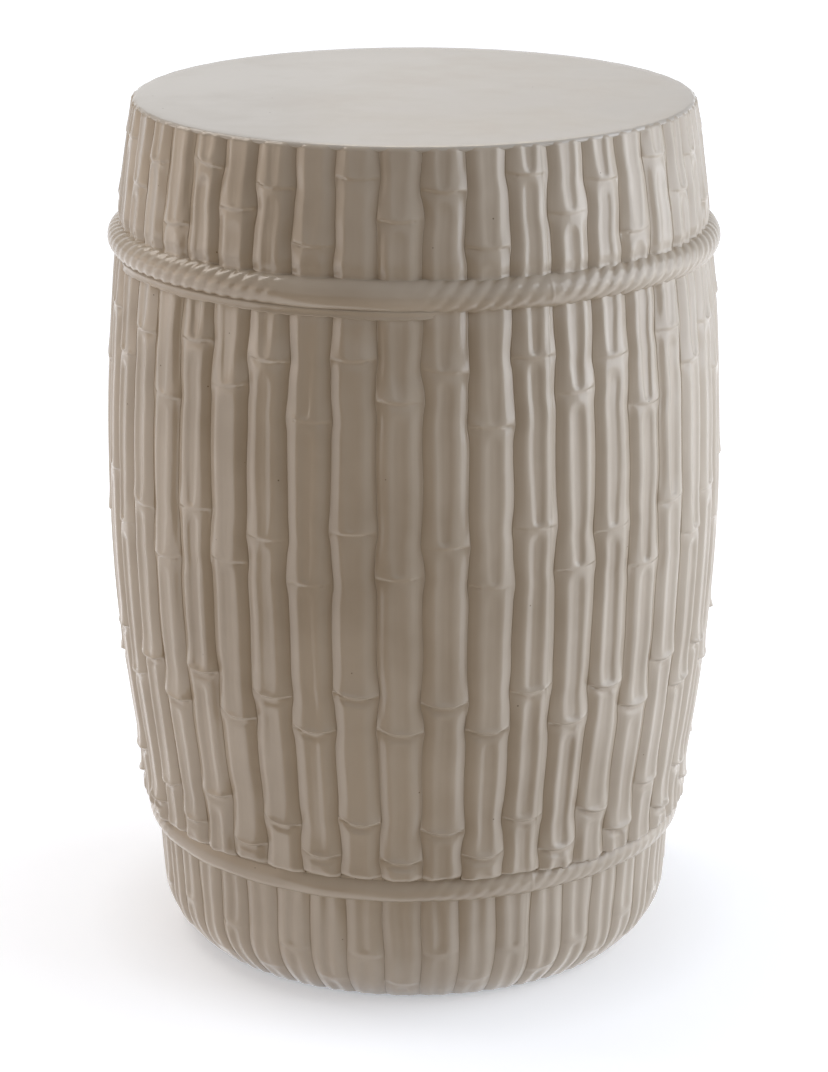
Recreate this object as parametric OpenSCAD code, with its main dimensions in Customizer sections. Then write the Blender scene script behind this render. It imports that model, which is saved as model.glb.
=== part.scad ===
// Ceramic garden stool: a barrel faced with forty-four bamboo canes in relief,
// bound by two twisted rope bands and closed by a round flat seat.
// Millimetres, +Z up, origin at the centre of the base on the floor, front towards -Y.

/* [Overall] */
// Height from the floor to the face of the seat
stool_h = 467; // [430:1:500]
// Diameter over the canes at the widest place, between joints
belly_d = 333; // [318:1:350]
// Height of the widest place above the floor
belly_z = 268; // [250:1:280]
// Diameter over the canes just under the rim of the seat
shoulder_d = 299; // [285:1:305]

/* [Canes] */
// Number of canes round the barrel, a multiple of the four in the repeat
cane_count = 44; // [40:4:48]
// Turn of the first cane to the right of the front, in degrees
first_turn = 5.6; // [0:0.1:8]
// Radius of a cane's rounded face, seen from its end
cane_r = 17; // [16:0.5:22]
// Thickness of a cane at its crown, outside the wall
cane_t = 6.5; // [6:0.1:8]
// Height of the canes' lower ends above the floor
cane_foot_z = 82; // [80:1:86]
// Gap between neighbouring canes
cane_gap = 0.2; // [0.1:0.1:1]

/* [Joints] */
// Height of the lowest joint on each of the four canes of the repeat
lowest_joint = [107, 92, 112, 90]; // [88:1:120]
// Lengths between joints on the first cane of the repeat, going up
internodes_1 = [73, 86, 91, 89]; // [60:1:95]
// Lengths between joints on the second cane of the repeat, going up
internodes_2 = [72, 79, 85, 89]; // [60:1:95]
// Lengths between joints on the third cane of the repeat, going up
internodes_3 = [73, 88, 89, 90]; // [60:1:95]
// Lengths between joints on the fourth cane of the repeat, going up
internodes_4 = [74, 85, 93, 89]; // [60:1:95]
// Height of the joint on every second short cane of the foot
foot_joint_z = 33; // [30:1:42]
// How far a joint swells out of its cane
joint_swell = 1.1; // [0.5:0.1:2]
// Length of the swelling on each side of a joint
joint_reach = 12; // [8:1:18]
// How deep the ends of the swelling start under the cane's face
joint_root = 0.5; // [0.3:0.1:1]
// Half the width of the scar that rings a joint
scar_half_w = 1.2; // [0.8:0.1:2]
// Depth of the scar that rings a joint
scar_depth = 0.7; // [0.3:0.1:1]

/* [Wall] */
// Thickness of the fired wall behind the canes
wall_t = 7; // [5:0.5:9]
// Height at which the foot's straight wall ends and the step to the barrel starts
step_z = 62; // [58:1:64]

/* [Seat] */
// Thickness of the seat slab
seat_t = 11; // [9:0.5:16]
// Thickness of the rim that covers the canes' upper ends
rim_t = 3; // [2.5:0.5:6]
// Radius of the rounding on the rim's upper edge
rim_round = 2; // [1:0.5:2.5]
// How far the rim reaches past the canes under it
rim_overhang = 0.5; // [0:0.1:2]

/* [Ropes] */
// Distance from the seat's face down to the middle of the upper rope
upper_rope_drop = 73.4; // [60:0.1:90]
// Thickness of the upper rope
upper_rope_d = 18.6; // [14:0.2:20]
// Height of the middle of the lower rope above the floor
lower_rope_z = 68.7; // [67.5:0.1:70]
// Thickness of the lower rope
lower_rope_d = 14; // [12:0.2:15]
// How far each rope stands out of the canes beside it
rope_proud = 4.4; // [3:0.1:6]
// Depth of the notch that the canes have for the upper rope
rope_notch = 4.4; // [3:0.1:5]

/* [Foot] */
// Diameter over the short canes of the foot at the floor
foot_base_d = 238; // [230:1:246]
// Diameter over the short canes where they turn in towards the floor
foot_d = 277; // [270:1:280]
// Height at which the short canes turn in towards the floor
foot_turn_z = 20; // [16:1:24]
// Diameter over the short canes of the foot at their upper ends
foot_top_d = 284; // [280:1:290]
// Thickness of a short cane at its crown, outside the wall
foot_cane_t = 5; // [4:0.1:6]
// Gap between the short canes and the floor
foot_lift = 1; // [0.5:0.1:3]
// Height of the bare standing ring
ring_h = 8; // [5:1:12]
// Width of the bare standing ring
ring_w = 11; // [8:1:16]

/* [Hidden] */
cane_nodes = [for (i = [1 : cane_count]) str("cane_", i < 10 ? "0" : "", i)];

$fn = 360;
REPEAT = 4;
EPS = 0.01;
FRONT = -90;
glaze_colour = "#c9c0b4";
rope_colour = "#d2cabf";
bare_colour = "#b9a68c";

belly_r = belly_d / 2;
shoulder_r = shoulder_d / 2;
foot_base_r = foot_base_d / 2;
foot_r = foot_d / 2;
foot_top_r = foot_top_d / 2;
pitch = 360 / cane_count;
far = belly_d;

rim_z = stool_h - rim_t;
wall_top_z = stool_h - seat_t;
upper_rope_z = stool_h - upper_rope_drop;

// The canes' crowns lie on one arc, through the belly and the shoulder
bow_rise = belly_r - shoulder_r;
bow_r = (pow(rim_z - belly_z, 2) + pow(bow_rise, 2)) / (2 * bow_rise);
bow_x = belly_r - bow_r;

// Radius of the barrel at a height, for the arc that lies deep under the crowns
function barrel_r(z, deep = 0) = bow_x + sqrt(pow(bow_r - deep, 2) - pow(z - belly_z, 2));
// Lean of the barrel's side at a height, in degrees
function lean(z) = asin((z - belly_z) / bow_r);
// Radius over the short canes of the foot at a height, above and below their turn
function foot_above(z) = foot_r + (foot_top_r - foot_r) * (z - foot_turn_z) / (step_z - foot_turn_z);
function foot_below(z) = foot_base_r + (foot_r - foot_base_r) * z / foot_turn_z;

internodes = [internodes_1, internodes_2, internodes_3, internodes_4];
function sum_to(list, last) = last < 0 ? 0 : list[last] + sum_to(list, last - 1);
// Heights of the joints on one kind of cane of the repeat
function joint_heights(kind) = [
    for (j = [0 : len(internodes[kind])]) lowest_joint[kind] + sum_to(internodes[kind], j - 1)
];
function cane_turn(i) = FRONT + first_turn + (i - 1) * pitch;
function cane_kind(i) = (i - 1) % REPEAT;

upper_rope_r = barrel_r(upper_rope_z) + rope_proud - upper_rope_d / 2;
upper_seat_r = barrel_r(upper_rope_z) - rope_notch;
lower_rope_r = foot_above(lower_rope_z) + rope_proud - lower_rope_d / 2;
ring_outer_r = foot_below(ring_h) - foot_cane_t;
ring_base_r = foot_base_r - foot_cane_t;

// Lean of the short canes above their turn and below it, and the middle of the bend between
foot_lean = atan((foot_top_r - foot_r) / (step_z - foot_turn_z));
turn_lean = atan((foot_r - foot_base_r) / foot_turn_z);
bend_share = cane_r / (1 + cos(turn_lean - foot_lean));
bend_r = foot_r - bend_share * (cos(foot_lean) + cos(turn_lean));
bend_z = foot_turn_z + bend_share * (sin(foot_lean) + sin(turn_lean));

// Solid of revolution that fills the barrel up to a depth under the crowns
module barrel_core(deep, z_low, z_high) {
    rotate_extrude()
        intersection() {
            translate([bow_x, belly_z]) circle(bow_r - deep, $fn = 720);
            translate([0, z_low]) square([far, z_high - z_low]);
        }
}

// Solid of revolution that fills the foot and the step up to the barrel
module foot_core(deep, z_low) {
    rotate_extrude()
        polygon([
            [0, z_low],
            [foot_below(z_low) - foot_cane_t - deep, z_low],
            [foot_r - foot_cane_t - deep, foot_turn_z],
            [foot_top_r - foot_cane_t - deep, step_z],
            [barrel_r(cane_foot_z, cane_t + deep), cane_foot_z],
            [0, cane_foot_z]
        ]);
}

// Wedge about +X that holds one cane's share of the circle
module cane_share(z_low, z_high) {
    apex = cane_gap / 2 / sin(pitch / 2);
    reach = (far - apex) * tan(pitch / 2);
    translate([0, 0, z_low])
        linear_extrude(z_high - z_low)
            polygon([[apex, 0], [far, -reach], [far, reach]]);
}

// Swelling and scar of one joint, turned about a cane's own middle line
module joint() {
    top = cane_r + joint_swell;
    low = cane_r - joint_root;
    rotate_extrude()
        polygon([
            [0, -joint_reach],
            [low, -joint_reach],
            [top, -scar_half_w],
            [top - scar_depth, 0],
            [top, scar_half_w],
            [low, joint_reach],
            [0, joint_reach]
        ]);
}

// One round cane along the bow of the barrel, on +X, with its joints
module bowed_cane(kind) {
    upper_lean = lean(stool_h);
    lower_lean = lean(step_z);
    translate([bow_x, 0, belly_z]) {
        rotate([90, 0, 0])
            rotate(lower_lean)
                rotate_extrude(angle = upper_lean - lower_lean, $fn = 720)
                    translate([bow_r - cane_r, 0]) circle(cane_r, $fn = 96);
        for (z = joint_heights(kind))
            rotate([0, -lean(z), 0])
                translate([bow_r - cane_r, 0, 0]) joint();
    }
}

module cane(i) {
    color(glaze_colour)
        rotate(cane_turn(i))
            difference() {
                intersection() {
                    bowed_cane(cane_kind(i));
                    cane_share(cane_foot_z, rim_z);
                }
                barrel_core(cane_t, step_z, stool_h);
                upper_rope_band();
            }
}

// Short cane of the foot on +X, bent in at its lower end, every second one with a joint
module foot_cane(jointed) {
    difference() {
        intersection() {
            translate([bend_r, 0, bend_z]) {
                sphere(cane_r, $fn = 96);
                rotate([0, foot_lean, 0]) {
                    cylinder(r = cane_r, h = step_z);
                    if (jointed) translate([0, 0, foot_joint_z - bend_z]) joint();
                }
                rotate([0, 180 + turn_lean, 0]) cylinder(r = cane_r, h = step_z);
            }
            cane_share(foot_lift, step_z);
        }
        foot_core(0, 0);
        lower_rope_band();
    }
}

module foot_canes() {
    color(glaze_colour)
        for (i = [1 : cane_count])
            rotate(cane_turn(i)) foot_cane(cane_kind(i) % 2 == 0);
}

module upper_rope_band() {
    translate([0, 0, upper_rope_z])
        difference() {
            rotate_extrude() translate([upper_rope_r, 0]) circle(d = upper_rope_d);
            cylinder(r = upper_seat_r, h = 2 * upper_rope_d, center = true);
        }
}

module lower_rope_band() {
    translate([0, 0, lower_rope_z])
        rotate_extrude() translate([lower_rope_r, 0]) circle(d = lower_rope_d);
}

module upper_rope() {
    color(rope_colour) upper_rope_band();
}

module lower_rope() {
    color(rope_colour)
        difference() {
            lower_rope_band();
            foot_core(0, 0);
        }
}

module barrel_wall() {
    color(glaze_colour) {
        difference() {
            barrel_core(cane_t, cane_foot_z, wall_top_z);
            barrel_core(cane_t + wall_t, cane_foot_z - EPS, wall_top_z + EPS);
        }
        difference() {
            foot_core(0, ring_h);
            foot_core(wall_t, ring_h - EPS);
        }
    }
}

module seat() {
    rim_r = shoulder_r + rim_overhang;
    under_r = barrel_r(rim_z, cane_t);
    color(glaze_colour)
        rotate_extrude()
            polygon(concat(
                [[0, wall_top_z], [barrel_r(wall_top_z, cane_t), wall_top_z], [under_r, rim_z], [rim_r, rim_z]],
                [for (a = [0 : 15 : 90])
                    [rim_r - rim_round * (1 - cos(a)), stool_h - rim_round * (1 - sin(a))]],
                [[0, stool_h]]
            ));
}

module foot_ring() {
    color(bare_colour)
        rotate_extrude()
            polygon([
                [ring_base_r - ring_w, 0],
                [ring_base_r, 0],
                [ring_outer_r, ring_h],
                [ring_base_r - ring_w, ring_h]
            ]);
}

barrel_wall();
seat();
for (i = [1 : cane_count])
    cane(i);
upper_rope();
lower_rope();
foot_canes();
foot_ring();
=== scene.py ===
"""Looks of a glazed ceramic garden stool.

The stool is a slip-cast barrel. Its wall carries forty-four bamboo canes in relief, two twisted
rope bands bind them, and a flat round seat closes the top. Metres, +Z up, the front faces -Y.
"""

import logging
import math
from dataclasses import dataclass, field
from enum import Enum
from typing import Any, Callable

import bmesh
import bpy
import numpy as np
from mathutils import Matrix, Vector


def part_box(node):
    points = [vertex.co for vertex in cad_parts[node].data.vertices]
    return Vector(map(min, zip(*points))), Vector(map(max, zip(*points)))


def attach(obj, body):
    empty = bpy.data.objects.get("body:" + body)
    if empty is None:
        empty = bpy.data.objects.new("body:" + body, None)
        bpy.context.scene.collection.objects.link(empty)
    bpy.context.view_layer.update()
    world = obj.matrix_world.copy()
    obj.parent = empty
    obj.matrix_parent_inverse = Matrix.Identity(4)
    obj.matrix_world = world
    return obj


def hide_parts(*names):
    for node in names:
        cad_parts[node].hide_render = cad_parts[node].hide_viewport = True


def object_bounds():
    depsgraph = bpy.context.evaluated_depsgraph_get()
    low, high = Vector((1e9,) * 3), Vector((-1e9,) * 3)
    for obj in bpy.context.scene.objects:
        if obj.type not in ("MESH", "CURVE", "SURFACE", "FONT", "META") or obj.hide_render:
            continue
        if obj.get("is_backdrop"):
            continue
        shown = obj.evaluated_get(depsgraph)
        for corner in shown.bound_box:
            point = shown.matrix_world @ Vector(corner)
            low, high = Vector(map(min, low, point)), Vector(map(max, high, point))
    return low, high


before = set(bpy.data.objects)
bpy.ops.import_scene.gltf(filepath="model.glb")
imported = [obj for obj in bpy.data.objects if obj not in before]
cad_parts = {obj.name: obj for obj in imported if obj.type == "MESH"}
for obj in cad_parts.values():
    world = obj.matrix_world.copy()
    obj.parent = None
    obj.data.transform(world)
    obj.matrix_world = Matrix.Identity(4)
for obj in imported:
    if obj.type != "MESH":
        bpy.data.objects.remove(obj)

logging.basicConfig(level=logging.INFO, format="%(name)s: %(message)s")
log = logging.getLogger("garden_stool")

MM = 0.001
BODY = "root"
# Per-vertex glaze relief that picks the glaze tone: pooled glaze in grooves, plus painted shade on
# the rope bands' edges and on the wall.
RELIEF_AND_SHADE_ATTRIBUTE = "glaze_relief_and_shade"

Array = np.ndarray
Colour = tuple[float, float, float, float]
Layer = bmesh.types.BMLayerItem
Material = bpy.types.Material
Mesh = bmesh.types.BMesh
Placer = Callable[[Array, Array], tuple[Array, Array]]
Profile = list[tuple[float, float]]
Socket = bpy.types.NodeSocket
Steps = tuple[tuple[float, float], ...]
Vert = bmesh.types.BMVert


# Colour and node helpers


def srgb_to_linear(colour: str) -> Colour:
    """Turns an sRGB hex colour to the linear colour that a shader takes.

    Args:
        colour: Hex digits with a leading hash, such as "#cfc6bb".

    Returns:
        Linear red, green and blue, and an alpha of 1.
    """
    parts = [int(colour[i : i + 2], 16) / 255 for i in (1, 3, 5)]
    linear = [p / 12.92 if p <= 0.04045 else ((p + 0.055) / 1.055) ** 2.4 for p in parts]
    return (linear[0], linear[1], linear[2], 1.0)


def grey(level: float) -> Colour:
    """Gives the linear colour whose three parts have that level."""
    return (level, level, level, 1.0)


class NodeKit:
    """Fills one node tree with the nodes that the finishes and the studio share."""

    def __init__(self, owner: Material | bpy.types.World) -> None:
        """Empties the node tree of a material or a world, to work on it."""
        owner.use_nodes = True
        self.tree = owner.node_tree
        self.tree.nodes.clear()

    def add(
        self, kind: str, inputs: dict[str | int, Any] | None = None, **settings: Any
    ) -> bpy.types.Node:
        """Adds one node, sets its properties, and fills or links its inputs.

        Args:
            kind: The node's type name, such as "ShaderNodeMath".
            inputs: Socket name or number to a value, or to the output socket that feeds it.
            **settings: Properties of the node itself.

        Returns:
            The new node.
        """
        node = self.tree.nodes.new(kind)
        for name, value in settings.items():
            setattr(node, name, value)
        for key, value in (inputs or {}).items():
            if isinstance(value, Socket):
                self.tree.links.new(value, node.inputs[key])
            else:
                node.inputs[key].default_value = value
        return node

    def place(self, output: str = "Object") -> Socket:
        """Gives the coordinates of that kind."""
        return self.add("ShaderNodeTexCoord").outputs[output]

    def axes(self, vector: Socket) -> Any:
        """Gives the X, Y and Z parts of a vector."""
        return self.add("ShaderNodeSeparateXYZ", {0: vector}).outputs

    def rays(self) -> Any:
        """Gives the outputs that tell the kinds of ray apart."""
        return self.add("ShaderNodeLightPath").outputs

    def calc(self, operation: str, *values: Any) -> Socket:
        """Gives the result of a calculation with up to three values."""
        return self.add("ShaderNodeMath", dict(enumerate(values)), operation=operation).outputs[0]

    def noise(self, place: Socket, size: float, detail: float, rough: float = 0.5) -> Socket:
        """Gives cloudy noise whose spots have about the given size."""
        inputs = {"Vector": place, "Scale": 1 / size, "Detail": detail, "Roughness": rough}
        return self.add("ShaderNodeTexNoise", inputs).outputs["Fac"]

    def remap(
        self, value: Any, low: float, high: float, to_low: float = 0.0, to_high: float = 1.0
    ) -> Socket:
        """Gives the value with one range laid on another, and held inside it."""
        ends = {"From Min": low, "From Max": high, "To Min": to_low, "To Max": to_high}
        return self.add("ShaderNodeMapRange", {"Value": value, **ends}).outputs["Result"]

    def mix(self, share: Any, first: Any, second: Any, blend: str = "MIX") -> Socket:
        """Gives two colours mixed, with a share of the second one."""
        inputs = {0: share, 6: first, 7: second}
        return self.add("ShaderNodeMix", inputs, data_type="RGBA", blend_type=blend).outputs[2]

    def ramp(self, value: Socket, stops: list[tuple[float, Colour]]) -> Socket:
        """Gives the colour at a value between stops of position and linear colour."""
        node = self.add("ShaderNodeValToRGB", {"Fac": value})
        elements = node.color_ramp.elements
        while len(elements) < len(stops):
            elements.new(0.5)
        for element, (position, colour) in zip(elements, stops):
            element.position = position
            element.color = colour
        return node.outputs["Color"]

    def bump(self, *layers: tuple[Socket, float]) -> Socket:
        """Gives the normal bent by layers of height and depth, each laid on the last."""
        below: dict[str, Any] = {}
        for height, depth in layers:
            inputs = {"Height": height, "Distance": depth, "Strength": 1.0, **below}
            below = {"Normal": self.add("ShaderNodeBump", inputs).outputs["Normal"]}
        return below["Normal"]

    def surface(self, **inputs: Any) -> None:
        """Adds the surface shader with those inputs, and the material's output."""
        named = {name.replace("_", " "): value for name, value in inputs.items()}
        shader = self.add("ShaderNodeBsdfPrincipled", named)
        self.add("ShaderNodeOutputMaterial", {"Surface": shader.outputs["BSDF"]})


# Finishes


@dataclass(frozen=True)
class CeramicGlaze:
    """Glossy tin-white glaze over buff clay.

    The glaze is poured, so it thins to a paler, warmer film over crests and pools a little
    darker and yellower in the grooves. Its surface is fired smooth, with long shallow waves
    that bend the reflections, and it carries a few iron specks from the clay.
    """

    name: str
    crest: str = "#d3cbbf"
    film: str = "#cec5b8"
    pool: str = "#c0b4a3"
    cloud: str = "#c3b9ab"
    cloud_range: tuple[float, float] = (0.42, 0.75)
    cloud_share: float = 0.35
    tone_stops: tuple[float, float, float] = (0.02, 0.45, 0.95)
    speck: str = "#6e5a45"
    speck_share: float = 0.75
    cloud_size: float = 60 * MM
    wave_size: float = 22 * MM
    wave_depth: float = 0.05 * MM
    peel_size: float = 2.2 * MM
    peel_depth: float = 0.006 * MM
    fibre_size: float = 1.8 * MM
    fibre_stretch: float = 45.0
    fibre_depth: float = 0.05 * MM
    speck_gap: float = 17 * MM
    speck_size: float = 0.55 * MM
    roughness: float = 0.13
    roughness_spread: float = 0.08
    roughness_range: tuple[float, float] = (0.3, 0.8)
    ior: float = 1.58

    def build(self) -> Material:
        """Makes the material from Object coordinates and the relief attribute."""
        material = bpy.data.materials.new(self.name)
        kit = NodeKit(material)
        place = kit.place()
        relief = kit.add("ShaderNodeAttribute", attribute_name=RELIEF_AND_SHADE_ATTRIBUTE).outputs["Fac"]
        clouds = kit.noise(place, self.cloud_size, 3.0, 0.55)
        tones = [srgb_to_linear(tone) for tone in (self.pool, self.film, self.crest)]
        # Glaze tone from the relief attribute: pooled glaze in grooves, and the painted shade that
        # the rope bands and the wall carry in it.
        pooling_and_shade = kit.ramp(relief, list(zip(self.tone_stops, tones)))
        cloud_part = kit.remap(clouds, *self.cloud_range, 0.0, self.cloud_share)
        tint = kit.mix(cloud_part, pooling_and_shade, srgb_to_linear(self.cloud), "MULTIPLY")
        cells = {"Vector": place, "Scale": 1 / self.speck_gap}
        specks = kit.add("ShaderNodeTexVoronoi", cells).outputs["Distance"]
        speck_end = self.speck_size / self.speck_gap
        speck_part = kit.remap(specks, 0.5 * speck_end, speck_end, self.speck_share, 0.0)
        stretch = {"Vector": place, "Scale": (1.0, 1.0, 1 / self.fibre_stretch)}
        along = kit.add("ShaderNodeMapping", stretch).outputs["Vector"]
        gloss = (self.roughness, self.roughness + self.roughness_spread)
        kit.surface(
            Base_Color=kit.mix(speck_part, tint, srgb_to_linear(self.speck)),
            Roughness=kit.remap(clouds, *self.roughness_range, *gloss),
            IOR=self.ior,
            Normal=kit.bump(
                (kit.noise(place, self.wave_size, 2.0), self.wave_depth),
                (kit.noise(place, self.peel_size, 1.0), self.peel_depth),
                (kit.noise(along, self.fibre_size, 2.0), self.fibre_depth),
            ),
        )
        return material


@dataclass(frozen=True)
class BareStoneware:
    """Bare buff stoneware, wiped clean of glaze before firing.

    It is matt and slightly open, with fine grog and a faint darker toasting where the
    kiln shelf touched it.
    """

    name: str = "bare_fired_stoneware"
    body: str = "#cdbb9f"
    toasted: str = "#b39c7c"
    grog_size: float = 0.9 * MM
    grog_depth: float = 0.12 * MM
    toast_size: float = 35 * MM
    roughness: float = 0.82

    def build(self) -> Material:
        """Makes the material from Object coordinates."""
        material = bpy.data.materials.new(self.name)
        kit = NodeKit(material)
        place = kit.place()
        toast = kit.noise(place, self.toast_size, 4.0)
        kit.surface(
            Base_Color=kit.mix(toast, srgb_to_linear(self.body), srgb_to_linear(self.toasted)),
            Roughness=self.roughness,
            Normal=kit.bump((kit.noise(place, self.grog_size, 2.0), self.grog_depth)),
        )
        return material


# Shape helpers


def bump(distance: Array, reach: float | Array) -> Array:
    """Gives a smooth hill of height 1 at distance 0 that dies away over the reach."""
    return np.exp(-((distance / reach) ** 2))


def soft_floor(height: Array, floor: float, softness: float) -> Array:
    """Holds a height above a floor with a rounded corner, as glaze fills a groove.

    Args:
        height: The heights to hold up.
        floor: The floor's level.
        softness: How wide the rounding is, in the height's own unit.

    Returns:
        The filled heights.
    """
    rise = height - floor
    return floor + 0.5 * (rise + np.sqrt(rise * rise + softness * softness))


def soft_cap(height: Array, cap: float, softness: float) -> Array:
    """Holds a height under a cap with a rounded corner."""
    return -soft_floor(-height, -cap, softness)


def switch(value: Any, middle: float, reach: float) -> Any:
    """Gives 0 far below the middle, 1 far above it and a smooth change between."""
    return 0.5 * (1 + np.tanh((value - middle) / reach))


def quarter(share: Array) -> Array:
    """Gives the height of a quarter circle at a share of its width."""
    return np.sqrt(1 - (1 - share) ** 2)


def turned(radius: Array, angle: Array, height: Array) -> Array:
    """Gives points at radii, angles to the right of the front, and heights."""
    return np.stack([radius * np.sin(angle), -radius * np.cos(angle), height], axis=1)


def cane_face(across: Array) -> Array:
    """Gives 1 over a cane's face, and a quick fall to 0 at the grooves beside it."""
    return np.clip(1 - np.abs(across) ** 6, 0, 1)


def ease_columns(column: Array, columns: int) -> Array:
    """Gives places from -1 to 1 across a cane, a little closer together at its edges."""
    even = 2 * column / columns - 1
    return even + 0.04 * np.sin(math.pi * even)


def between(left: Array, right: Array, across: Array) -> Array:
    """Gives the angle between a cane's two grooves at a place across it."""
    return (left + right) / 2 + across * (right - left) / 2


def wrapped(turn: Any, full: float) -> Any:
    """Gives an angle moved by full turns, to lie within half a turn of zero."""
    return (turn + full / 2) % full - full / 2


def squeeze(vert: Vert, scale: float) -> None:
    """Scales a vertex's distance from the stool's axis."""
    vert.co.x *= scale
    vert.co.y *= scale


# Form of the barrel


class CaneKind(Enum):
    """The four canes of the mould's repeat, by the heights of their joints in millimetres."""

    FIRST = (107, 180, 266, 357, 446)
    SECOND = (92, 164, 243, 328, 417)
    THIRD = (112, 185, 273, 362, 452)
    FOURTH = (90, 164, 249, 342, 431)

    @classmethod
    def of(cls, index: int) -> "CaneKind":
        """Gives the kind of the cane with that number, counted from 0."""
        kinds = list(cls)
        return kinds[index % len(kinds)]


@dataclass(frozen=True)
class Band:
    """Place and size of a rope band."""

    middle_z: float
    outer_r: float
    thick: float


@dataclass(frozen=True)
class BarrelForm:
    """Profile of the barrel and the places of its bands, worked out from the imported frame."""

    seat_z: float
    rim_z: float
    foot_end_z: float
    belly_r: float
    limit_r: float
    upper_rope: Band
    lower_rope: Band
    foot_top_r: float
    foot_lift: float
    ring_h: float
    ring_outer_r: float
    ring_base_r: float
    ring_inner_r: float
    belly_z: float = 262 * MM
    upper_bow: float = 1270 * MM
    wall_bow: float = 1190 * MM
    lower_bow: float = 880 * MM
    flare: float = 3.5 * MM
    flare_reach: float = 14 * MM
    cane_t: float = 6.5 * MM
    foot_cane_t: float = 5 * MM
    wall_t: float = 7 * MM
    step_z: float = 62 * MM
    foot_lean: float = 0.07
    foot_turn: float = 17.2 * MM
    foot_swell: float = 1.0 * MM
    foot_turn_z: float = 32 * MM
    foot_turn_power: float = 2.2

    @classmethod
    def from_frame(cls, joint_swell: float = 0.65 * MM) -> "BarrelForm":
        """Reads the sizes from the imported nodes.

        Args:
            joint_swell: How far the joints stand out of the canes' crowns at the belly.

        Returns:
            The form that every piece of the stool is fitted to.
        """
        cane_low, cane_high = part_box("cane_01")
        upper_low, upper_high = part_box("upper_rope")
        lower_low, lower_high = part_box("lower_rope")
        foot_low, foot_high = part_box("foot_canes")
        ring_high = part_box("foot_ring")[1]
        upper_trim = 1.4 * MM
        lower_thick = 16.2 * MM
        lower_rise = 2 * MM
        lower_swell = 1.3 * MM
        upper_middle = (upper_low.z + upper_high.z) / 2
        lower_middle = lower_low.z + lower_thick / 2 + lower_rise
        box_gap = 0.02 * MM
        ring_w = 11 * MM
        foot_end_r = 119 * MM
        ring_base_r = foot_end_r - cls.foot_cane_t
        return cls(
            seat_z=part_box("seat")[1].z,
            rim_z=cane_high.z,
            foot_end_z=cane_low.z,
            belly_r=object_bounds()[1].y - joint_swell,
            limit_r=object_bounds()[1].y - box_gap,
            upper_rope=Band(upper_middle, upper_high.x, upper_high.z - upper_low.z - upper_trim),
            lower_rope=Band(lower_middle, lower_high.x + lower_swell, lower_thick),
            foot_top_r=foot_high.x,
            foot_lift=foot_low.z,
            ring_h=ring_high.z,
            ring_outer_r=ring_high.x,
            ring_base_r=ring_base_r,
            ring_inner_r=ring_base_r - ring_w,
        )

    def crown(self, z: Array) -> Array:
        """Gives the radius over the canes' crowns at each height."""
        above = z - self.belly_z
        bow = np.where(above > 0, self.upper_bow, self.lower_bow)
        flare = self.flare * np.exp(-(z - self.foot_end_z) / self.flare_reach)
        return self.belly_r - above * above / (2 * bow) + flare

    def wall(self, z: Array) -> Array:
        """Gives the outer radius of the wall behind the canes at each height."""
        plain = self.belly_r - (z - self.belly_z) ** 2 / (2 * self.wall_bow)
        return plain - self.cane_t

    def foot_crown(self, z: Array) -> Array:
        """Gives the radius over the foot's short canes at each height."""
        straight = self.foot_top_r + self.foot_swell - self.foot_lean * (self.step_z - z)
        below = np.clip((self.foot_turn_z - z) / self.foot_turn_z, 0, 1)
        return straight - self.foot_turn * below**self.foot_turn_power

    def foot_wall(self, z: float) -> float:
        """Gives the radius of the wall behind the foot's short canes at a height."""
        return float(self.foot_crown(np.array(z))) - self.foot_cane_t


# Mesh helpers


def flat_grid(bm: Mesh, columns: int, rows: int) -> tuple[list[Vert], Array, Array]:
    """Adds a flat grid and gives its vertices with their column and row numbers."""
    made = bmesh.ops.create_grid(bm, x_segments=columns, y_segments=rows, size=1.0)["verts"]
    flat = np.array([v.co[:2] for v in made])
    column = np.rint((flat[:, 0] + 1) / 2 * columns).astype(int)
    row = np.rint((flat[:, 1] + 1) / 2 * rows).astype(int)
    return made, column, row


def surface_grid(bm: Mesh, columns: int, rows: int, place: Placer, relief: Layer) -> list[Vert]:
    """Adds a flat grid and moves its vertices onto a curved relief.

    Args:
        bm: The mesh that gets the grid.
        columns: Faces across.
        rows: Faces up.
        place: Turns column and row numbers into points and glaze relief values.
        relief: The vertex layer that takes the relief values.

    Returns:
        The grid's vertices.
    """
    made, column, row = flat_grid(bm, columns, rows)
    points, heights = place(column, row)
    for vert, point, height in zip(made, points.tolist(), heights.tolist()):
        vert.co = point
        vert[relief] = height
    return made


def close_back(bm: Mesh, verts: list[Vert], depth: Callable[[Vector], float]) -> None:
    """Closes an open shell by turning its rim inwards to a back face.

    Args:
        bm: The mesh that holds the shell.
        verts: The shell's vertices.
        depth: Gives the back's radius at a rim vertex.
    """
    edges = {e for v in verts for e in v.link_edges if e.is_boundary}
    made = bmesh.ops.extrude_edge_only(bm, edges=list(edges))["geom"]
    for vert in [g for g in made if isinstance(g, Vert)]:
        squeeze(vert, depth(vert.co) / math.hypot(vert.co.x, vert.co.y))
    ring = [g for g in made if isinstance(g, bmesh.types.BMEdge) and g.is_boundary]
    back = bmesh.ops.holes_fill(bm, edges=ring, sides=0)["faces"]
    bmesh.ops.triangulate(bm, faces=back)


def finish_piece(bm: Mesh, name: str, material: Material, nodes: list[str]) -> None:
    """Turns a bmesh into a smooth-shaded piece that rides on the body.

    Args:
        bm: The finished mesh. It is freed.
        name: The piece's name.
        material: Its finish.
        nodes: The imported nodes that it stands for.
    """
    bmesh.ops.recalc_face_normals(bm, faces=bm.faces)
    mesh = bpy.data.meshes.new(name)
    bm.to_mesh(mesh)
    bm.free()
    mesh.shade_smooth()
    mesh.materials.append(material)
    piece = bpy.data.objects.new(name, mesh)
    bpy.context.scene.collection.objects.link(piece)
    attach(piece, BODY)
    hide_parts(*nodes)
    log.info("%s: %d faces", name, len(mesh.polygons))


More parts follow.
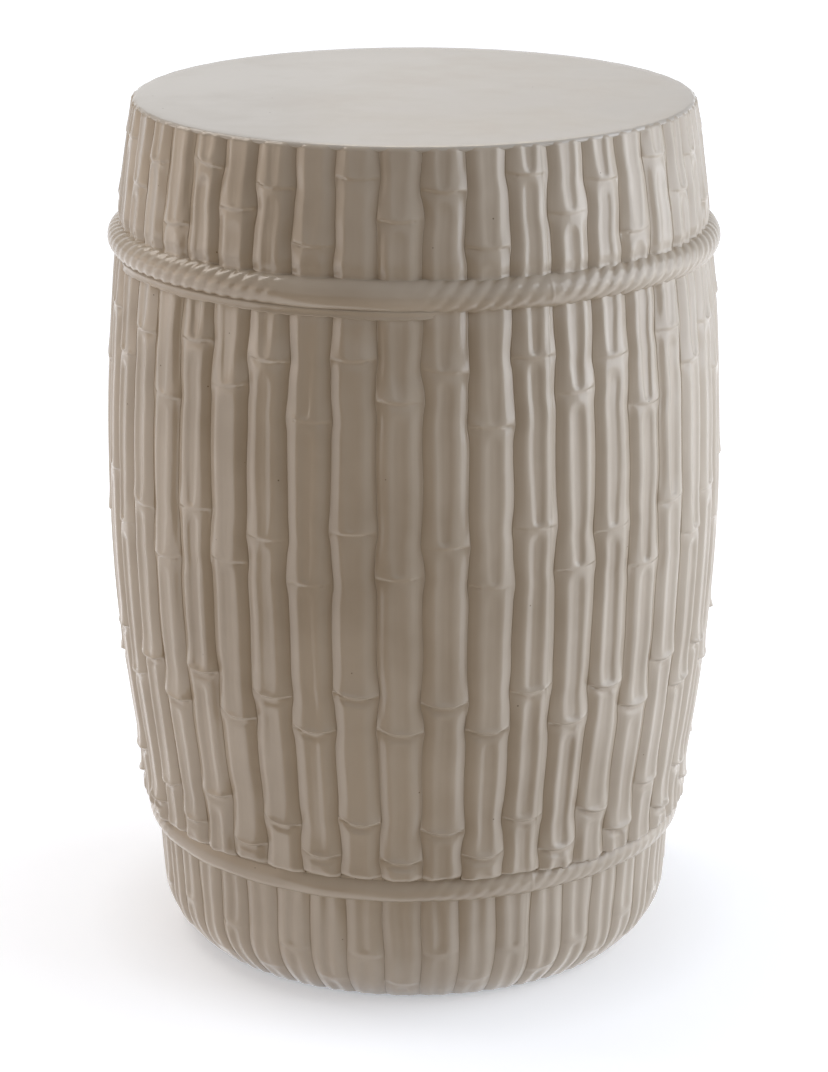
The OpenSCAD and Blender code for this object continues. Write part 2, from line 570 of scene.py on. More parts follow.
def spun_ring(profile: Profile, steps: int, closed: bool) -> Mesh:
    """Bends a grid into the ring that a profile makes when it turns round the Z axis.

    Args:
        profile: Points as (radius, height), in order.
        steps: Faces round.
        closed: Whether the last point joins the first.

    Returns:
        A bmesh of the surface with its doubles merged.
    """
    section = np.array([*profile, profile[0]] if closed else profile)
    rows = len(section) - 1
    bm = bmesh.new()
    made, column, row = flat_grid(bm, steps, rows)
    turn = column % steps * math.tau / steps
    radius, height = section[row].T
    points = np.stack([radius * np.cos(turn), radius * np.sin(turn), height], axis=1)
    for vert, point in zip(made, points.tolist()):
        vert.co = point
    bmesh.ops.remove_doubles(bm, verts=bm.verts, dist=0.001 * MM)
    return bm


def edge_points(radius: float, height: float, steps: Steps) -> Profile:
    """Gives points that lie millimetres outwards and upwards of a place."""
    return [(radius + out * MM, height + up * MM) for out, up in steps]


def arc_points(
    centre: tuple[float, float], radius: float, start: float, end: float, count: int
) -> Profile:
    """Gives points on an arc in the plane of radius and height, angles in degrees from outwards."""
    angles = [math.radians(start + (end - start) * i / count) for i in range(count + 1)]
    return [(centre[0] + radius * math.cos(a), centre[1] + radius * math.sin(a)) for a in angles]


# Canes


@dataclass(frozen=True)
class JointStyle:
    """How the joints of one half of the barrel look.

    The lower ones have a lip with a lens-shaped undercut. The upper ones are faint lines that
    fade out on a part of the cane.
    """

    line_half_w: float
    sag: float
    strength: float
    fading: float = 0.0
    lens: float = 0.0
    lip: float = 0.0


LOW_JOINT = JointStyle(
    line_half_w=0.45 * MM, sag=2.6, strength=1.35, lens=0.75 * MM, lip=0.32 * MM
)
HIGH_JOINT = JointStyle(line_half_w=0.8 * MM, sag=1.0, strength=0.9, fading=0.65)


@dataclass
class CaneRelief:
    """Relief of the canes round the barrel: grooves, ridges, joints, hollows and buds."""

    form: BarrelForm
    count: int = 44
    first_turn: float = math.radians(5.6)
    depth: float = 2.8 * MM
    flank_slope: float = 0.57
    groove_half_w: float = 0.4 * MM
    crown_edge: float = 0.85 * MM
    groove_fill: float = 1.0 * MM
    joint_easing: float = 0.28
    hollow_depth: float = 1.25 * MM
    filled_turn: float = -20.0
    filled_reach: float = 19.0
    hollow_half_w: float = 3.7 * MM
    hollow_head: float = 1.3 * hollow_half_w
    hollow_foot: float = 0.6 * hollow_half_w
    hollow_sharpness: float = 1.6
    hollow_taper: float = 0.55
    taper_reach: float = 30 * MM
    hollow_low_gap: float = 3.5 * MM
    hollow_high_gap: float = 8.5 * MM
    stub_drop: float = 4.0 * MM
    stub_round: float = 4.6 * MM
    stub_kept: float = 0.25
    stub_gain: float = 0.5
    stub_side: tuple[float, float] = (0.22, 0.12)
    stub_corner: float = 0.9 * MM
    stub_wave: float = 0.4 * MM
    swell: float = 0.9 * MM
    swell_reach: float = 7.5 * MM
    dip: float = 0.34 * MM
    dip_reach: float = 3.2 * MM
    lens_drop: float = 3.3 * MM
    lens_half_w: float = 0.72
    lens_end: float = 0.7 * MM
    lens_end_reach: float = 0.6 * MM
    lip_above: float = 0.8 * MM
    lip_reach: float = 0.75 * MM
    notch: float = 0.5 * MM
    notch_below: float = 0.4 * MM
    notch_reach: float = 0.7 * MM
    ridge_place: float = 0.6
    ridge_reach: float = 0.2
    fading_reach: float = 0.5
    bud: float = 0.5 * MM
    bud_place: float = 0.56
    bud_reach: float = 2.1 * MM
    bud_squash: float = 0.9
    bud_pit: float = 0.8
    pit_reach: float = 0.7 * MM
    spread: float = 0.95 * MM
    hill_above: float = 10 * MM
    hill_below: float = 5 * MM
    groove_wave: float = 0.3 * MM
    crown_wave: float = 0.12 * MM
    hollow_before: float = 85 * MM
    hollow_after: float = 88 * MM
    filled_share: float = 0.6
    top_filled_share: float = 0.15
    top_change: float = 5 * MM
    pinch_above: float = 1.1 * MM
    pinch_above_reach: float = 3.2 * MM
    pinch_below: float = 0.4 * MM
    pinch_below_reach: float = 2.5 * MM
    pinch_gap: float = 0.5 * MM
    top_round: float = 2.4 * MM
    top_kept: float = 0.62
    seed: int = 7
    low_joint_z: float = 200 * MM
    seam_turns: tuple[float, ...] = (25.0, 205.0)
    seam_height: float = 0.3 * MM
    seam_half_w: float = 0.5 * MM
    overlap: float = 0.4 * MM
    back_depth: float = 1.5 * MM
    columns: int = 40
    top_gap: float = 0.15 * MM
    sample: float = 0.1 * MM
    fine_step: float = 0.45 * MM
    coarse_step: float = 2.4 * MM
    fine_reach: float = 6 * MM
    joints: list[Array] = field(init=False)
    traits: list[dict[str, Any]] = field(init=False)

    def __post_init__(self) -> None:
        """Draws each cane's small differences, always the same ones."""
        rng = np.random.default_rng(self.seed)
        self.joints = []
        self.traits = []
        for index in range(self.count):
            heights = np.array(CaneKind.of(index).value) * MM
            number = len(heights)
            self.joints.append(heights + rng.normal(0, 0.7 * MM, number))
            self.traits.append(
                {
                    "wave": rng.uniform(0, math.tau),
                    "wave_length": rng.uniform(70, 120) * MM,
                    "edge": rng.uniform(0, math.tau),
                    "edge_length": rng.uniform(40, 80) * MM,
                    "crown": rng.normal(0, 0.1) * MM,
                    "hollow": rng.uniform(0.6, 1.2),
                    "hollow_side": rng.uniform(-1.2, 0.6) * MM,
                    "strength": rng.uniform(0.7, 1.3, number),
                    "bud_side": np.where(rng.uniform(size=number) < 0.7, 1, -1) * self.bud_place,
                    "bud_size": rng.uniform(0.2, 1.4, number),
                    "tilt": rng.normal(0, 0.8, number),
                    "faded": rng.uniform(-1.1, 1.1, number),
                    "depth": rng.uniform(0.6, 1.15, number + 1),
                    "reach": rng.uniform(-1.0, 5.0, number + 1) * MM,
                    "lean": rng.normal(0, 0.8, number + 1) * MM,
                    "stub": rng.uniform(-0.9, 0.7) * MM,
                }
            )

    def turn(self, index: int) -> float:
        """Gives the angle of a cane's middle line, to the right of the front."""
        return self.first_turn + index * math.tau / self.count

    def joint_hill(self, index: int, z: Array) -> Array:
        """Gives how near each height is to a joint, from 0 to 1, reaching further above it."""
        hill = np.zeros_like(z)
        for joint in self.joints[index % self.count]:
            above = z - joint
            reach = np.where(above > 0, self.hill_above, self.hill_below)
            hill = np.maximum(hill, bump(above, reach))
        return hill

    def edge_wave(self, index: int, z: Array) -> Array:
        """Gives the slow wave of the groove to the right of a cane, from -1 to 1."""
        trait = self.traits[index % self.count]
        return np.sin(math.tau * z / trait["edge_length"] + trait["edge"])

    def groove(self, index: int, z: Array) -> Array:
        """Gives the angle of the groove to the right of a cane, which its joints push aside."""
        left = self.joint_hill(index, z)
        right = self.joint_hill(index + 1, z)
        push = self.spread * (left - right) + self.groove_wave * self.edge_wave(index, z)
        return self.turn(index) + math.pi / self.count + push / self.form.crown(z)

    def height(self, index: int, across: Array, z: Array) -> Array:
        """Gives the height of a cane's surface over the bottom of its grooves.

        Args:
            index: The cane's number, counted from 0.
            across: Place across the cane, -1 at its left groove and 1 at its right one.
            z: Heights above the floor.

        Returns:
            Heights in metres.
        """
        trait = self.traits[index]
        hill = self.joint_hill(index, z)
        half_w = math.pi / self.count * self.form.crown(z)
        aside = across * half_w
        inside = half_w - np.abs(aside) - self.groove_half_w * (1 - hill)
        slope = self.flank_slope * (1 - self.joint_easing * hill)
        flank = soft_cap(slope * inside, self.depth, self.crown_edge)
        height = soft_floor(flank, 0.0, self.groove_fill)
        crest = np.clip(flank / self.depth, 0, 1) ** 2
        wave = np.sin(math.tau * z / trait["wave_length"] + trait["wave"])
        height = height + crest * (trait["crown"] + self.crown_wave * wave)
        height = height - self.hollow(index, aside, z)
        for number in range(len(self.joints[index])):
            height = height + self.joint(index, number, across, z, half_w)
        return height

    def hollow(self, index: int, aside: Array, z: Array) -> Array:
        """Gives the depth of the flat hollow between a cane's two ridges.

        Args:
            index: The cane's number.
            aside: Distance from the cane's middle line, positive to the right.
            z: Heights above the floor.

        Returns:
            Depths in metres, with an arched head under each joint and a fading foot.
        """
        trait = self.traits[index]
        joints = self.joints[index]
        ends = [joints[0] - self.hollow_before, *joints, joints[-1] + self.hollow_after]
        depth = np.zeros_like(z)
        for place, (low, high) in enumerate(zip(ends, ends[1:])):
            taper = self.hollow_taper if low > self.low_joint_z else 0.0
            opened = np.sqrt(np.clip((z - low) / self.taper_reach, 0, 1))
            half_w = self.hollow_half_w * (1 - taper * (1 - opened))
            lean = trait["lean"][place] * (z - (low + high) / 2) / (high - low)
            side = (aside - trait["hollow_side"] - lean) / half_w
            top = high - self.hollow_high_gap - trait["reach"][place]
            over = np.maximum(z - top, 0) / self.hollow_head
            under = np.maximum(low + self.hollow_low_gap - z, 0) / self.hollow_foot
            distance = side**2 + over**2 + under**2
            share = trait["depth"][place] * np.exp(-(distance**self.hollow_sharpness))
            depth = np.maximum(depth, share)
        aside_turn = wrapped(math.degrees(self.turn(index)) - self.filled_turn, 360)
        filled = self.filled_share * math.exp(-((aside_turn / self.filled_reach) ** 2))
        above_rope = switch(z, self.form.upper_rope.middle_z, self.top_change)
        filled = filled + self.top_filled_share * above_rope
        return self.hollow_depth * trait["hollow"] * (1 - filled) * depth

    def joint(self, index: int, number: int, across: Array, z: Array, half_w: Array) -> Array:
        """Gives what one joint adds to a cane: swelling, line, notched ridges and bud.

        Args:
            index: The cane's number, counted from 0.
            number: The joint's number on its cane.
            across: Place across the cane, from -1 to 1.
            z: Heights above the floor.
            half_w: Half the cane's width.

        Returns:
            Heights in metres.
        """
        trait = self.traits[index]
        joint_z = self.joints[index][number]
        above = z - joint_z
        style = LOW_JOINT if joint_z < self.low_joint_z else HIGH_JOINT
        bend = trait["tilt"][number] * across + style.sag * across**2 - 0.4 * style.sag
        level = above - bend * MM
        over = switch(level, 0.0, style.line_half_w)
        lifted = self.swell * bump(level, self.swell_reach)
        sunk = self.dip * bump(level, self.dip_reach)
        step = over * lifted - (1 - over) * sunk
        step = step - style.lens * self.lens_dent(across, -level)
        step = step + style.lip * bump(level - self.lip_above, self.lip_reach)
        ridge = bump(np.abs(across) - self.ridge_place, self.ridge_reach)
        cut = self.notch * ridge * bump(level + self.notch_below, self.notch_reach)
        side = trait["bud_side"][number]
        reach = np.sqrt(((across - side) * half_w) ** 2 + (above * self.bud_squash) ** 2)
        pit = self.bud_pit * bump(reach, self.pit_reach)
        bud = trait["bud_size"][number] * self.bud * (bump(reach, self.bud_reach) - pit)
        faded = style.fading * bump(across - trait["faded"][number], self.fading_reach)
        strength = trait["strength"][number] * style.strength * (1 - faded)
        return cane_face(across) * (strength * (step - cut) + bud)

    def lens_dent(self, across: Array, below: Array) -> Array:
        """Gives the share of its depth that the lens-shaped undercut below a lip has."""
        falling = np.clip(below / self.lens_drop, 0, 1) ** 0.8
        closing = 1 - switch(below, self.lens_drop + self.lens_end, self.lens_end_reach)
        return falling * closing * np.clip(1 - (across / self.lens_half_w) ** 2, 0, 1)

    def pinch(self, z: Array) -> Array:
        """Gives how far the canes are drawn in beside the upper rope."""
        rope = self.form.upper_rope
        reach = rope.thick / 2
        above = bump(z - (rope.middle_z + reach + self.pinch_gap), self.pinch_above_reach)
        below = bump(z - (rope.middle_z - reach), self.pinch_below_reach)
        return self.pinch_above * above + self.pinch_below * below

    def seam(self, angle: Array, radius: Array) -> Array:
        """Gives the height of the mould's parting lines."""
        height = np.zeros_like(angle)
        for turn in self.seam_turns:
            aside = wrapped(angle - math.radians(turn), math.tau)
            height = height + self.seam_height * bump(aside * radius, self.seam_half_w)
        return height

    def rows(self, index: int) -> Array:
        """Gives the heights of a cane's rows, close together at its joints and ends."""
        form = self.form
        low = form.foot_end_z - self.stub_drop - 1 * MM
        z = np.arange(low, form.seat_z - self.top_gap, self.sample)
        near = np.zeros_like(z)
        rope_edge = form.upper_rope.middle_z + form.upper_rope.thick / 2
        for place in [*self.joints[index], form.foot_end_z + 1 * MM, form.rim_z, rope_edge]:
            near = np.maximum(near, bump(z - place, self.fine_reach))
        step = self.coarse_step + (self.fine_step - self.coarse_step) * near
        total = np.cumsum(self.sample / step)
        count = int(total[-1])
        return np.interp(np.linspace(total[0], total[-1], count + 1), total, z)

    def ends(self, index: int, across: Array, z: Array) -> Array:
        """Gives how full a cane is near its two rounded ends, from 0 to 1.

        The stubs on the right side run out into the lower rope, because glaze fills the step.
        """
        form = self.form
        rightwards = math.sin(self.turn(index))
        kept = self.stub_kept + self.stub_gain * switch(rightwards, *self.stub_side)
        low = form.foot_end_z - self.stub_drop + self.traits[index]["stub"]
        low = low + self.stub_corner * across**4 + self.stub_wave * np.sin(3 * across + index)
        up = np.clip((z - low) / self.stub_round, 0, 1)
        down = np.clip((form.seat_z - z) / self.top_round, 0, 1)
        bottom = np.where(up > 0, kept + (1 - kept) * quarter(up), 0)
        return bottom * (self.top_kept + (1 - self.top_kept) * quarter(down))

    def build(self, index: int) -> Mesh:
        """Makes one cane as a closed solid with its relief.

        Args:
            index: The cane's number, counted from 0.

        Returns:
            The cane's bmesh.
        """
        form = self.form
        levels = self.rows(index)
        bm = bmesh.new()
        relief = bm.verts.layers.float.new(RELIEF_AND_SHADE_ATTRIBUTE)

        def place(column: Array, row: Array) -> tuple[Array, Array]:
            """Gives points and relief for grid columns and rows."""
            across = ease_columns(column, self.columns)
            z = levels[row]
            angle = between(self.groove(index - 1, z), self.groove(index, z), across)
            height = self.height(index, across, z)
            radius = form.crown(z) - self.depth + height - self.pinch(z)
            radius = radius + self.seam(angle, radius)
            radius = np.minimum(radius, form.limit_r)
            back = form.wall(z) - self.overlap
            radius = back + (radius - back) * self.ends(index, across, z)
            return turned(radius, angle, z), np.clip(height / self.depth, 0, 1.3)

        verts = surface_grid(bm, self.columns, len(levels) - 1, place, relief)
        close_back(bm, verts, lambda co: float(form.wall(np.array(co.z))) - self.back_depth)
        return bm


@dataclass
class Canes:
    """The forty-four canes of the barrel, each a piece of its own."""

    relief: CaneRelief
    glaze: Material

    def build(self) -> None:
        """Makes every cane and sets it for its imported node."""
        for index in range(self.relief.count):
            name = f"cane_{index + 1:02d}"
            bm = self.relief.build(index)
            finish_piece(bm, f"{name}_relief", self.glaze, [name])


@dataclass
class FootCanes:
    """The short canes of the foot, under the lower rope."""

    relief: CaneRelief
    glaze: Material
    depth: float = 1.9 * MM
    flank_slope: float = 0.5
    groove_half_w: float = 0.4 * MM
    crown_edge: float = 0.8 * MM
    groove_fill: float = 0.8 * MM
    hollow_depth: float = 1.05 * MM
    hollow_half_w: float = 2.7 * MM
    hollow_gap: float = 5 * MM
    hollow_sharpness: float = 1.3
    sway: float = 0.4 * MM
    columns: int = 28
    rows: int = 60
    overlap: float = 4 * MM
    joint_heights: tuple[float, float] = (33 * MM, 14 * MM)
    joint_spread: float = 2 * MM
    sag: float = 1.6
    swell: float = 0.45 * MM
    swell_reach: float = 8 * MM
    dip_reach: float = 4 * MM
    edge_round: float = 1.2 * MM
    groove_wave: float = 0.5 * MM

    def build(self) -> None:
        """Makes the ring of short canes, one closed solid each."""
        bm = bmesh.new()
        layer = bm.verts.layers.float.new(RELIEF_AND_SHADE_ATTRIBUTE)
        for index in range(self.relief.count):
            verts = surface_grid(bm, self.columns, self.rows, self.placer(index), layer)
            close_back(bm, verts, lambda co: self.relief.form.foot_wall(co.z))
        finish_piece(bm, "foot_canes_relief", self.glaze, ["foot_canes"])

    def groove(self, index: int, z: Array) -> Array:
        """Gives the angle of the groove to the right of a short cane."""
        relief = self.relief
        wave = self.groove_wave * relief.edge_wave(index, z)
        return relief.turn(index) + math.pi / relief.count + wave / relief.form.foot_top_r

    def placer(self, index: int) -> Placer:
        """Gives the function that places one short cane's grid."""
        relief = self.relief
        form = relief.form
        trait = relief.traits[index]
        joint = self.joint_heights[index % 2] + self.joint_spread * trait["tilt"][0]
        half = math.pi / relief.count

        def place(column: Array, row: Array) -> tuple[Array, Array]:
            """Gives points and relief for grid columns and rows."""
            across = ease_columns(column, self.columns)
            share = row / self.rows
            z = form.foot_lift + (form.step_z + self.overlap - form.foot_lift) * share**1.2
            angle = between(self.groove(index - 1, z), self.groove(index, z), across)
            crown = form.foot_crown(z)
            aside = across * half * crown
            inside = half * crown - np.abs(aside) - self.groove_half_w
            flank = soft_cap(self.flank_slope * inside, self.depth, self.crown_edge)
            height = soft_floor(flank, 0.0, self.groove_fill)
            sway = self.sway * np.sin(math.tau * z / trait["wave_length"] * 2 + trait["wave"])
            side = (aside - 0.6 * trait["hollow_side"] - sway) / self.hollow_half_w
            near = np.maximum(self.hollow_gap - np.abs(z - joint), 0) / self.hollow_half_w
            hollow = np.exp(-((side**2 + near**2) ** self.hollow_sharpness))
            level = z - joint - (trait["tilt"][1] * across + self.sag * across**2) * MM
            over = switch(level, 0.0, LOW_JOINT.line_half_w)
            sunk = 0.5 * (1 - over) * bump(level, self.dip_reach)
            ring = over * bump(level, self.swell_reach) - sunk
            height = height + cane_face(across) * self.swell * trait["strength"][0] * ring
            height = height - self.hollow_depth * trait["hollow"] * hollow
            rise = np.clip((z - form.foot_lift) / self.edge_round, 0, 1)
            radius = crown - self.depth + height - self.edge_round * (1 - quarter(rise))
            radius = radius + relief.seam(angle, radius)
            return turned(radius, angle, z), np.clip(height / self.depth, 0, 1.2)

        return place


# Rope bands


@dataclass
class RopeBand:
    """A three-strand rope, pressed into the clay as a half-round band."""

    name: str
    node: str
    band: Band
    glaze: Material
    relief: CaneRelief
    ridges: int
    ridge_depth: float
    smooth_spans: Steps
    flattening: float = 0.0
    skirt_span: tuple[float, float] | None = None
    steps_per_ridge: int = 11
    segments: int = 30
    open_angle: float = 112.0
    web: float = 5 * MM
    wobble: float = 0.3 * MM
    twist: float = 4.6
    strand_sharpness: float = 1.6
    flat_turn: float = 0.35
    # Glaze tone on the band: groove_shade is glaze pooled in the strand grooves; edge_shade is
    # painted shade on the band's upper and lower edges, and upper_shade is a painted shadow along
    # its top edge.
    groove_shade: float = 0.8
    edge_shade: float = 0.15
    upper_shade: float = 0.9
    upper_turn: float = 0.75
    span_end: float = 2.0
    full_wear: float = 0.96
    patchy_wear: float = 0.3
    side_wear: float = 0.25
    skirt_steps: int = 7
    skirt_drop: float = 4.5 * MM
    skirt_ripple: float = 0.15 * MM
    skirt_section: Steps = (
        (-4.2, -1.5),
        (-0.1, -2.0),
        (0.45, -1.9),
        (0.7, -1.5),
        (0.5, -1.1),
        (0.45, -0.4),
        (0.7, 0.8),
        (1.1, 2.0),
        (-1.5, 3.0),
        (-4.2, 2.0),
    )

    def build(self) -> None:
        """Spins the band's half-round section and lays the strands into it."""
        middle = self.band.middle_z
        own_r = self.band.thick / 2
        ring_r = self.band.outer_r - own_r
        web_r = ring_r - own_r / 2
        section = [
            (web_r, middle - own_r - self.web),
            *arc_points((ring_r, middle), own_r, -self.open_angle, self.open_angle, self.segments),
            (web_r, middle + own_r + self.web),
        ]
        bm = spun_ring(section, self.ridges * self.steps_per_ridge, closed=True)
        layer = bm.verts.layers.float.new(RELIEF_AND_SHADE_ATTRIBUTE)
        place = np.array([v.co for v in bm.verts])
        angle = np.arctan2(place[:, 0], -place[:, 1])
        out = np.hypot(place[:, 0], place[:, 1]) - ring_r
        up = place[:, 2] - middle
        round_angle = np.arctan2(up, out)
        twist = self.ridges * angle - self.twist * round_angle
        crest = np.abs(np.sin(twist / 2)) ** self.strand_sharpness
        worn, flat = self.worn(angle)
        pressed = np.clip(np.cos(round_angle - self.flat_turn), 0, 1) ** 2
        cut = self.ridge_depth * (1 - worn) * (1 - crest)
        cut = cut + self.flattening * flat * pressed
        lift = self.wobble * (0.5 * np.sin(9 * angle + 1.3) + np.sin(23 * angle)) * 0.6
        radius = np.hypot(out, up) - cut
        seam = self.relief.seam(angle, np.full_like(angle, self.band.outer_r))
        ring = ring_r + radius * np.cos(round_angle) + seam
        height = middle + radius * np.sin(round_angle) + lift
        points = turned(ring, angle, height)
        upper = np.clip(round_angle - self.upper_turn, 0, 1)
        # Pooled glaze in the strand grooves, plus painted shade at the band's edges and a painted
        # shadow along its top edge.
        sunk = self.groove_shade * (1 - worn) * (1 - crest) + self.edge_shade * round_angle**2
        sunk = sunk + self.upper_shade * (1 - worn) * upper * (1.4 - crest)
        shade = np.clip(1.05 - sunk, 0, 1)
        for vert, point, value in zip(bm.verts, points.tolist(), shade.tolist()):
            vert.co = point
            vert[layer] = value
        if self.skirt_span is not None:
            self.add_skirt(bm, layer)
        finish_piece(bm, self.name, self.glaze, [self.node])

    def add_skirt(self, bm: Mesh, layer: Layer) -> None:
        """Adds the thin scalloped lip of clay that was pressed out under the band.

        Args:
            bm: The band's mesh, which gets the lip as a second closed shell.
            layer: The vertex layer of the glaze relief.
        """
        form = self.relief.form
        low = self.band.middle_z - self.band.thick / 2
        crown = float(form.crown(np.array(low)))
        section = edge_points(crown, low, self.skirt_section)
        skirt = spun_ring(section, self.ridges * self.skirt_steps, closed=True)
        start, end = self.skirt_span
        for vert in skirt.verts:
            angle = math.atan2(vert.co.x, -vert.co.y)
            degrees = math.degrees(angle)
            inside = min(degrees - start, end - degrees)
            shown = 1 / (1 + math.exp(-inside / 2))
            scallop = 0.5 * MM * abs(math.sin(self.ridges * angle / 2))
            radius = math.hypot(vert.co.x, vert.co.y)
            ripple = self.skirt_ripple * math.sin(31 * angle) ** 2
            squeeze(vert, 1 - (self.skirt_drop * (1 - shown) + ripple) / radius)
            if vert.co.z < low - 0.6 * MM:
                vert.co.z += 0.35 * MM * math.sin(17 * angle) - scallop
        lip = bpy.data.meshes.new("rope_lip")
        skirt.to_mesh(lip)
        skirt.free()
        known = len(bm.verts)
        bm.from_mesh(lip)
        bpy.data.meshes.remove(lip)
        bm.verts.ensure_lookup_table()
        for vert in bm.verts[known:]:
            vert[layer] = 0.8

    def worn(self, angle: Array) -> tuple[Array, Array]:
        """Gives how far glaze has filled the strands and where the band is pressed flat.

        Args:
            angle: Angles to the right of the front, in radians.

        Returns:
            Two shares from 0 to 1 at each angle.
        """
        degrees = np.degrees(angle)
        filled = np.zeros_like(angle)
        for middle, reach in self.smooth_spans:
            aside = np.abs(wrapped(degrees - middle, 360))
            filled = np.maximum(filled, 1 / (1 + np.exp((aside - reach) / self.span_end)))
        patchy = 0.5 + 0.3 * np.sin(5 * angle + 0.7) + 0.2 * np.sin(13 * angle + 2.1)
        sides = np.clip(np.abs(np.sin(angle)) / 0.15 - 5.6, 0, 1)
        faint = np.clip(self.patchy_wear * patchy + self.side_wear * sides, 0, 0.6)
        return np.clip(self.full_wear * filled + faint * (1 - filled), 0, 0.97), filled


# Wall, seat and standing ring


@dataclass
class Body:
    """The plain turned parts: wall, seat and standing ring."""

    form: BarrelForm
    relief: CaneRelief
    wall_glaze: Material
    seat_glaze: Material
    clay: Material
    steps: int = 352
    rim_edge: float = 2.0 * MM
    ring_edge: float = 1.2 * MM
    step_section: Steps = ((0.0, -4.0), (1.2, 4.0), (2.8, 9.0), (3.6, 13.0), (5.0, 18.0))
    tuck_section: Steps = ((-0.5, -2.2), (-1.6, -3.2), (-3.4, -4.0), (-6.0, -4.4))

    def build(self) -> None:
        """Makes the three parts."""
        self.build_wall()
        self.build_seat()
        self.build_ring()

    def build_wall(self) -> None:
        """Makes the wall with its step behind the lower rope and its smooth inside."""
        form = self.form
        seat_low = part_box("seat")[0].z
        levels = np.linspace(form.foot_end_z + 6 * MM, seat_low, 36)
        outer = [(float(r), float(z)) for r, z in zip(form.wall(levels), levels)]
        foot_wall = form.foot_wall(form.step_z)
        step = [
            (form.ring_outer_r, form.ring_h),
            *edge_points(foot_wall, form.step_z, self.step_section),
        ]
        inner = [(r - form.wall_t, z) for r, z in reversed(outer)]
        inner_step = [(r - form.wall_t, z) for r, z in reversed(step)]
        bm = spun_ring([*step, *outer, *inner, *inner_step], self.steps, closed=True)
        # Low glaze relief gives the wall its darker pooled tone, partly painted shade in the
        # recess.
        self.shade(bm, 0.35)
        finish_piece(bm, "wall_shell", self.wall_glaze, ["barrel_wall"])

    def build_seat(self) -> None:
        """Makes the seat slab with its rounded rim drawn down over the canes."""
        form = self.form
        low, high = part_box("seat")
        rim_r = high.x - 0.6 * MM
        edge = self.rim_edge
        top = [(r, form.seat_z) for r in np.linspace(0, rim_r - edge, 22).tolist()]
        bend = arc_points((rim_r - edge, form.seat_z - edge), edge, 90, 10, 7)[1:]
        tuck = edge_points(rim_r, form.seat_z, self.tuck_section)
        under = [(rim_r - 7.5 * MM, low.z), (0.0, low.z)]
        bm = spun_ring([*top, *bend, *tuck, *under], self.steps, closed=False)
        for vert in bm.verts:
            radius = math.hypot(vert.co.x, vert.co.y)
            angle = math.atan2(vert.co.x, -vert.co.y)
            inside = max(0.0, 1 - (radius / rim_r) ** 6)
            if vert.co.z > form.seat_z - 0.5 * MM and radius < rim_r - edge:
                sag = 0.12 * math.sin(2 * angle + 0.6) * (radius / rim_r) ** 2
                vert.co.z -= (0.25 + sag) * MM * inside
            if radius > rim_r - 3 * MM:
                grip = math.cos(self.relief.count * (angle - self.relief.first_turn))
                drift = 0.25 * math.sin(5 * angle) + 0.2 * math.sin(11 * angle + 1.0)
                squeeze(vert, 1 + (0.18 * (grip - 1) + 0.3 * (drift - 0.45)) * MM / radius)
        self.shade(bm, 0.8)
        finish_piece(bm, "seat_slab", self.seat_glaze, ["seat"])

    def build_ring(self) -> None:
        """Makes the bare standing ring with eased edges."""
        form = self.form
        ease = self.ring_edge
        inner, outer = form.ring_inner_r, form.ring_base_r
        profile = [
            *arc_points((inner + ease, ease), ease, 180, 270, 4),
            *arc_points((outer - ease, ease), ease, -90, 0, 4),
            (form.ring_outer_r, form.ring_h),
            (inner, form.ring_h),
        ]
        bm = spun_ring(profile, self.steps, closed=True)
        finish_piece(bm, "standing_ring", self.clay, ["foot_ring"])

    @staticmethod
    def shade(bm: Mesh, value: float) -> None:
        """Gives every vertex the same glaze relief."""
        layer = bm.verts.layers.float.new(RELIEF_AND_SHADE_ATTRIBUTE)
        for vert in bm.verts:
            vert[layer] = value


# Studio


@dataclass(frozen=True)
class SoftLamp:
    """One rectangular soft lamp, aimed at the stool."""

    name: str
    place: tuple[float, float, float]
    aim: tuple[float, float, float]
    size: tuple[float, float]
    watts: float
    colour: str = "#ffffff"

    def build(self) -> None:
        """Adds the lamp to the scene."""
        data = bpy.data.lights.new(self.name, "AREA")
        data.shape = "RECTANGLE"
        data.size, data.size_y = self.size
        data.energy = self.watts
        data.color = srgb_to_linear(self.colour)[:3]
        lamp = bpy.data.objects.new(self.name, data)
        lamp.location = self.place
        direction = Vector(self.aim) - Vector(self.place)
        lamp.rotation_euler = direction.to_track_quat("-Z", "Y").to_euler()
        bpy.context.scene.collection.objects.link(lamp)


